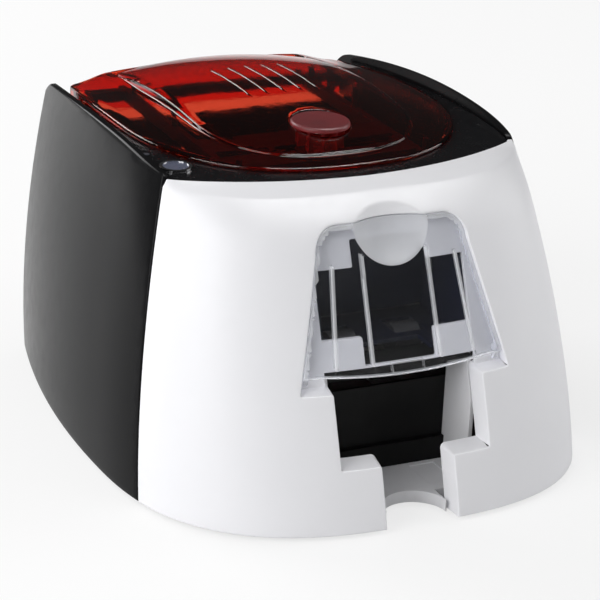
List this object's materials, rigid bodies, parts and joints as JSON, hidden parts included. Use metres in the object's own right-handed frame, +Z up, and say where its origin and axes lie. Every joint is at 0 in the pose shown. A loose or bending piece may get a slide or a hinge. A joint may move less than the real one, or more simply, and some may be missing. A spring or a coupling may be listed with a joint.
{
  "type": "id card printer",
  "caption": "Desktop printer for plastic cards, with a see-through hinged lid, a clear front feeder cover, a card output bay and a working roller, ribbon and latch mechanism.",
  "frame": {"origin": "on the table, under the middle of the bounding box", "axes": "+X to the right seen from the front, the front with the output bay faces -Y, +Z up"},
  "size_m": [0.283, 0.3216, 0.1935],
  "materials": {
    "white_plastic": "satin white moulded plastic",
    "black_texture": "fine spark-eroded texture",
    "deck_black": "satin",
    "red_clear": "polished translucent",
    "red_frost": "frosted translucent",
    "clear_plastic": "polished clear",
    "inner_black": "matte",
    "tray_grey": "fine texture",
    "bay_white": "satin",
    "rubber": "matte",
    "roller_rubber": "fine ground",
    "sheet_steel": "zinc plated",
    "bright_steel": "ground",
    "spring_steel": "drawn wire",
    "bush_plastic": "natural",
    "gear_plastic": "natural acetal",
    "motor_can": "zinc plated",
    "cassette_blue": "satin",
    "film": "thin glossy film",
    "film_roll": "wound film",
    "board_green": "solder mask",
    "chrome": "polished",
    "button_lens": "satin translucent",
    "status_clear": "diffuse",
    "head_metal": "milled"
  },
  "bodies": {
    "casing": {"base_tray": "inner_black", "rubber_feet": "rubber", "side_panel_left": "black_texture", "side_panel_right": "black_texture", "front_cover": "white_plastic", "top_deck": "deck_black", "rear_panel": "black_texture", "case_screws": "bright_steel", "feeder_hopper": "inner_black", "bay_side_walls": "bay_white", "feeder_hinge_pins": "bright_steel", "output_tray": "tray_grey", "output_bay": "inner_black", "engine_plate_left": "sheet_steel", "engine_plate_right": "sheet_steel", "engine_tie_rods": "bright_steel", "roller_bushes": "bush_plastic", "card_guides": "inner_black", "engine_studs": "bright_steel", "feed_motor": "motor_can", "ribbon_cassette": "cassette_blue", "ribbon_film": "film", "ribbon_motor": "motor_can", "circuit_board": "board_green", "usb_socket": "sheet_steel", "power_socket": "inner_black", "button_bezel": "chrome", "button_switch": "inner_black", "status_lenses": "status_clear", "lid_hinge_pins": "bright_steel"},
    "feeder_door": {"feeder_cover": "clear_plastic"},
    "lid": {"lid_shell": "red_clear", "lid_frame": "inner_black", "head_carrier": "inner_black", "head_springs": "spring_steel", "latch_spring": "spring_steel"},
    "print_head_unit": {"print_head": "head_metal"},
    "latch_press": {"latch_button": "red_frost"},
    "latch_hooks": {"latch_bar": "sheet_steel"},
    "button": {"control_button": "button_lens"},
    "platen": {"platen_shaft": "bright_steel", "platen_roller": "roller_rubber", "platen_gear": "gear_plastic"},
    "rear_idler": {"rear_idler_gear": "gear_plastic"},
    "motor_drive": {"motor_pinion": "gear_plastic"},
    "feed": {"feed_shaft": "bright_steel", "feed_roller": "roller_rubber", "feed_gear": "gear_plastic"},
    "front_idler": {"front_idler_gear": "gear_plastic"},
    "pick": {"pick_shaft": "bright_steel", "pick_rollers": "roller_rubber", "pick_gear": "gear_plastic"},
    "eject": {"eject_shaft": "bright_steel", "eject_rollers": "roller_rubber", "eject_gear": "gear_plastic"},
    "pinch": {"pinch_roller": "bright_steel"},
    "takeup": {"takeup_spool": "film_roll", "takeup_gear": "gear_plastic"},
    "ribbon_drive": {"ribbon_pinion": "gear_plastic"},
    "supply": {"supply_spool": "film_roll"}
  },
  "joints": [
    {"name": "feeder_door_hinge", "type": "hinge", "parent": "casing", "child": "feeder_door", "pos_m": [0, -0.122, 0.082], "axis": [1, 0, 0], "range_deg": [0, 38]},
    {"name": "lid_hinge", "type": "hinge", "parent": "casing", "child": "lid", "pos_m": [0, 0.143, 0.156], "axis": [-1, 0, 0], "range_deg": [0, 95]},
    {"name": "print_head_lift", "type": "slide", "parent": "lid", "child": "print_head_unit", "axis": [0, 0, 1], "range_m": [0, 0.0025], "stiffness_N_per_m": 1500, "springref_m": -0.003, "deforming": ["head_springs"]},
    {"name": "latch_press_travel", "type": "slide", "parent": "lid", "child": "latch_press", "axis": [0, 0, -1], "range_m": [0, 0.003], "stiffness_N_per_m": 600, "springref_m": -0.002, "deforming": ["latch_spring"]},
    {"name": "latch_hook_swing", "type": "hinge", "parent": "lid", "child": "latch_hooks", "pos_m": [0, -0.03, 0.158], "axis": [-1, 0, 0], "range_deg": [0, 9.3]},
    {"name": "button_travel", "type": "slide", "parent": "casing", "child": "button", "axis": [0, 0, -1], "range_m": [0, 0.001], "stiffness_N_per_m": 500, "springref_m": -0.0005},
    {"name": "platen_spin", "type": "hinge", "parent": "casing", "child": "platen", "pos_m": [0, 0.018, 0.081], "axis": [1, 0, 0], "continuous": true},
    {"name": "rear_idler_spin", "type": "hinge", "parent": "casing", "child": "rear_idler", "pos_m": [0, -0.01004, 0.07922], "axis": [1, 0, 0], "continuous": true},
    {"name": "motor_spin", "type": "hinge", "parent": "casing", "child": "motor_drive", "pos_m": [0, -0.01004, 0.05912], "axis": [1, 0, 0], "continuous": true},
    {"name": "feed_spin", "type": "hinge", "parent": "casing", "child": "feed", "pos_m": [0, -0.038, 0.08205], "axis": [1, 0, 0], "continuous": true},
    {"name": "front_idler_spin", "type": "hinge", "parent": "casing", "child": "front_idler", "pos_m": [0, -0.062, 0.07983], "axis": [1, 0, 0], "continuous": true},
    {"name": "pick_spin", "type": "hinge", "parent": "casing", "child": "pick", "pos_m": [0, -0.086, 0.082], "axis": [1, 0, 0], "continuous": true},
    {"name": "eject_spin", "type": "hinge", "parent": "casing", "child": "eject", "pos_m": [0, -0.062, 0.05413], "axis": [1, 0, 0], "continuous": true},
    {"name": "pinch_spin", "type": "hinge", "parent": "casing", "child": "pinch", "pos_m": [0, -0.038, 0.0968], "axis": [1, 0, 0], "continuous": true},
    {"name": "takeup_spin", "type": "hinge", "parent": "casing", "child": "takeup", "pos_m": [0, -0.032, 0.122], "axis": [1, 0, 0], "continuous": true},
    {"name": "ribbon_motor_spin", "type": "hinge", "parent": "casing", "child": "ribbon_drive", "pos_m": [0, -0.04949, 0.11384], "axis": [1, 0, 0], "continuous": true},
    {"name": "supply_spin", "type": "hinge", "parent": "casing", "child": "supply", "pos_m": [0, 0.058, 0.122], "axis": [1, 0, 0], "continuous": true}
  ],
  "couplings": [
    {"joint": "latch_hook_swing", "follows": "latch_press_travel", "rad_per_m": 54.054},
    {"joint": "rear_idler_spin", "follows": "platen_spin", "ratio": -0.84211},
    {"joint": "motor_spin", "follows": "platen_spin", "ratio": 2.6667},
    {"joint": "feed_spin", "follows": "platen_spin", "ratio": 1},
    {"joint": "front_idler_spin", "follows": "platen_spin", "ratio": -1.1429},
    {"joint": "pick_spin", "follows": "platen_spin", "ratio": 1},
    {"joint": "eject_spin", "follows": "platen_spin", "ratio": 0.88889},
    {"joint": "pinch_spin", "follows": "platen_spin", "ratio": -1.3333},
    {"joint": "ribbon_motor_spin", "follows": "takeup_spin", "ratio": -3}
  ]
}
